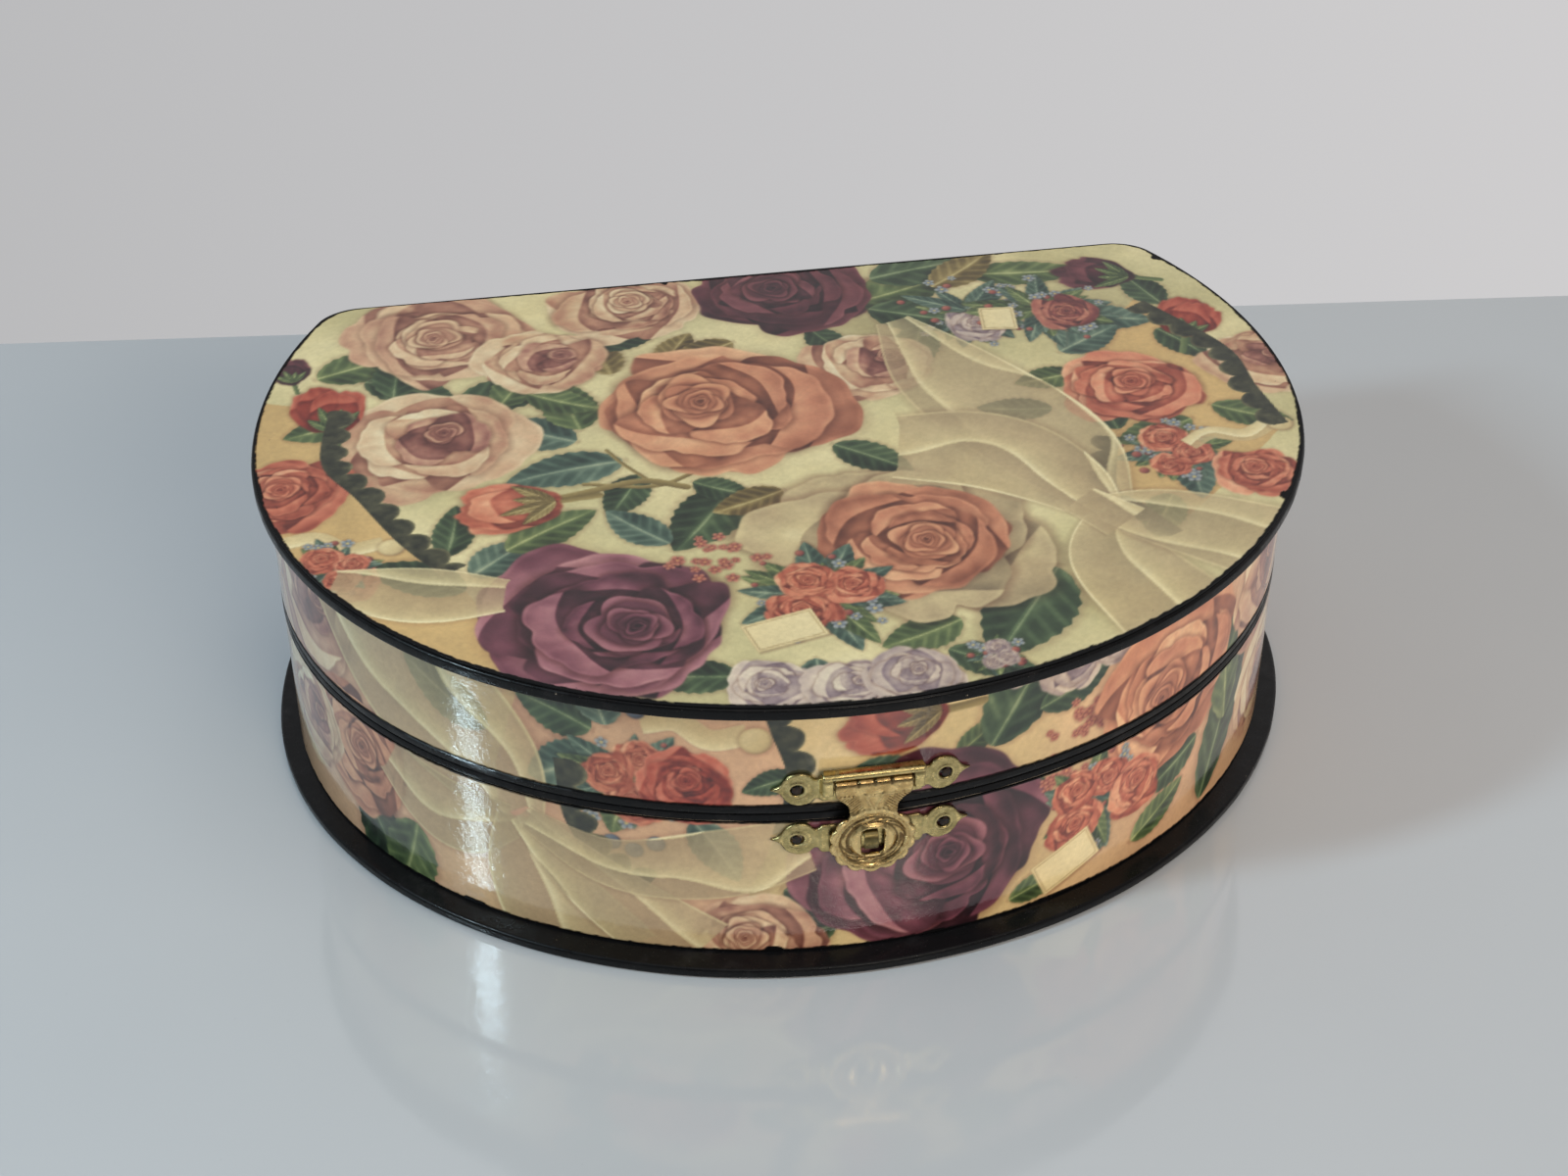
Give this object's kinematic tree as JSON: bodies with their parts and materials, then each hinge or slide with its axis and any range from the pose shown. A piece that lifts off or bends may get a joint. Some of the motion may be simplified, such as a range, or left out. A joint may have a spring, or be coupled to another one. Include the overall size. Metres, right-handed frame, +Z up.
{
  "type": "hat box",
  "caption": "D-shaped paper-covered hat box with a flat back, a hinged lid and a swinging brass hasp over a catch; holds hats or keepsakes.",
  "frame": {"origin": "middle of the bounding box at the underside of the bottom board", "axes": "+X along the box's width, +Y to the flat hinged back, +Z up"},
  "size_m": [0.3078, 0.2196, 0.0965],
  "materials": {
    "black_paint": "hand-painted gloss black",
    "grey_board": "bare grey board",
    "print_paper": "printed paper under glossy varnish",
    "liner_paper": "matt lining paper",
    "brass": "aged, stamped",
    "dark_steel": "darkened"
  },
  "bodies": {
    "base": {"base_board": "black_paint", "base_wall": "grey_board", "base_wall_paper": "print_paper", "base_rim_band": "black_paint", "base_wall_liner": "liner_paper", "base_floor_liner": "liner_paper", "catch_plate": "brass", "catch_plate_brad_left": "dark_steel", "catch_plate_brad_right": "dark_steel", "hinge_left_base_leaf": "brass", "hinge_right_base_leaf": "brass", "hinge_left_pin": "dark_steel", "hinge_right_pin": "dark_steel", "base_hinge_brad_1": "brass", "base_hinge_brad_2": "brass", "base_hinge_brad_3": "brass", "base_hinge_brad_4": "brass"},
    "lid": {"lid_board": "black_paint", "lid_top_paper": "print_paper", "lid_wall": "grey_board", "lid_wall_paper": "print_paper", "lid_rim_band": "black_paint", "lid_wall_liner": "liner_paper", "lid_top_liner": "liner_paper", "hasp_plate": "brass", "hasp_pin": "brass", "hasp_plate_brad_left": "dark_steel", "hasp_plate_brad_right": "dark_steel", "hinge_left_lid_leaf": "brass", "hinge_right_lid_leaf": "brass", "lid_hinge_brad_1": "brass", "lid_hinge_brad_2": "brass", "lid_hinge_brad_3": "brass", "lid_hinge_brad_4": "brass"},
    "hasp": {"hasp": "brass"}
  },
  "joints": [
    {"name": "lid_hinge", "type": "hinge", "parent": "base", "child": "lid", "pos_m": [0, 0.1061, 0.053], "axis": [-1, 0, 0], "range_deg": [0, 105]},
    {"name": "hasp_swing", "type": "hinge", "parent": "lid", "child": "hasp", "pos_m": [0.003, -0.1024, 0.0638], "axis": [-1, 0, 0], "range_deg": [0, 95]}
  ]
}
